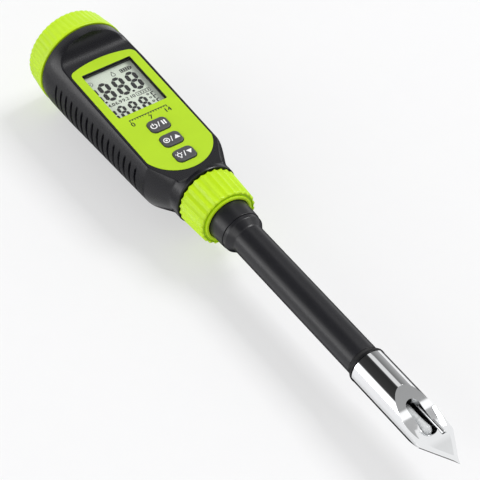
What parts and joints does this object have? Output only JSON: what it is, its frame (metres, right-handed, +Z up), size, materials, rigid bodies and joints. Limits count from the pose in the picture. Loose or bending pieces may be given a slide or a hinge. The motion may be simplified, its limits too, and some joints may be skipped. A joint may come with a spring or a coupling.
{
  "type": "soil ph meter",
  "caption": "Handheld soil pH meter: round battery handle with a flat face panel, display and buttons, and a screw-on probe ending in a steel spear with a glass electrode.",
  "frame": {"origin": "bottom centre of the whole meter's box as it lies on its back", "axes": "+Y along the long axis from the spear's point to the battery cap, +Z up out of the display face, +X to the display's right"},
  "size_m": [0.038, 0.251, 0.038],
  "materials": {
    "shell_black": "fine satin texture",
    "lime_panel": "satin moulded panel",
    "lime_cap": "satin moulded",
    "window_clear": "clear polished window",
    "white_plastic": "moulded",
    "lcd_cell": "reflective display cell",
    "light_guide": "diffusing",
    "rubber_black": "smooth",
    "rubber_grey": "smooth silicone",
    "button_rubber": "silicone key",
    "board_green": "solder mask",
    "chip_black": "moulded",
    "plated_steel": "nickel plated",
    "inner_plastic": "moulded",
    "cell_jacket": "printed jacket",
    "wire_red": "wire insulation",
    "wire_grey": "cable jacket",
    "probe_black": "satin moulded",
    "ring_black": "satin",
    "plug_ivory": "moulded",
    "plug_black": "potting",
    "gold_contact": "gold plated",
    "spear_steel": "polished stainless steel",
    "sensor_steel": "polished",
    "clear_glass": "clear",
    "silver_wire": "silver wire",
    "ceramic_white": "porous"
  },
  "bodies": {
    "handle": {"housing": "shell_black", "face_panel": "lime_panel", "display_window": "window_clear", "lcd_frame": "white_plastic", "lcd_glass": "lcd_cell", "backlight_plate": "light_guide", "contact_strips": "rubber_black", "main_board": "board_green", "board_chips": "chip_black", "switch_domes": "plated_steel", "keypad_mat": "rubber_grey", "board_screws": "plated_steel", "battery_tray": "inner_plastic", "battery_left": "cell_jacket", "battery_right": "cell_jacket", "spring_contact": "plated_steel", "button_contact": "plated_steel", "battery_leads": "wire_red", "probe_socket": "inner_plastic", "signal_cable": "wire_grey", "cap_seal": "rubber_black"},
    "power_button": {"power_button": "button_rubber"},
    "calibrate_button": {"calibrate_button": "button_rubber"},
    "light_button": {"light_button": "button_rubber"},
    "contact_carrier": {"cap_contact": "plated_steel", "cap_spring": "plated_steel"},
    "battery_cap": {"battery_cap": "lime_cap"},
    "probe": {"probe_head": "probe_black", "probe_seal": "rubber_black", "plug_insert": "plug_ivory", "plug_pins": "gold_contact", "probe_shaft": "probe_black", "shaft_ring": "ring_black", "spear_tip": "spear_steel", "electrode_plug": "plug_black", "electrode_tube": "clear_glass", "electrode_bulb": "clear_glass", "reference_wire": "silver_wire", "reference_junction": "ceramic_white", "temperature_tube": "sensor_steel"},
    "collar_nut": {"collar_nut": "lime_cap"}
  },
  "joints": [
    {"name": "power_button_press", "type": "slide", "parent": "handle", "child": "power_button", "axis": [0, 0.0459, -0.9989], "range_m": [0, 0.0006], "stiffness_N_per_m": 1500},
    {"name": "calibrate_button_press", "type": "slide", "parent": "handle", "child": "calibrate_button", "axis": [0, 0.0459, -0.9989], "range_m": [0, 0.0006], "stiffness_N_per_m": 1500},
    {"name": "light_button_press", "type": "slide", "parent": "handle", "child": "light_button", "axis": [0, 0.0459, -0.9989], "range_m": [0, 0.0006], "stiffness_N_per_m": 1500},
    {"name": "cap_lift", "type": "slide", "parent": "handle", "child": "contact_carrier", "axis": [0, 1, 0], "range_m": [0, 0.00951]},
    {"name": "cap_turn", "type": "hinge", "parent": "contact_carrier", "child": "battery_cap", "pos_m": [0, 0.1195, 0.019], "axis": [0, 1, 0], "range_deg": [0, 1710]},
    {"name": "probe_draw", "type": "slide", "parent": "handle", "child": "probe", "axis": [0, -1, 0], "range_m": [0, 0.01101]},
    {"name": "collar_turn", "type": "hinge", "parent": "probe", "child": "collar_nut", "pos_m": [0, 0.0195, 0.019], "axis": [0, -1, 0], "range_deg": [0, 1980]}
  ],
  "couplings": [
    {"joint": "cap_lift", "follows": "cap_turn", "m_per_rad": 0.00031831},
    {"joint": "probe_draw", "follows": "collar_turn", "m_per_rad": 0.00031831}
  ]
}
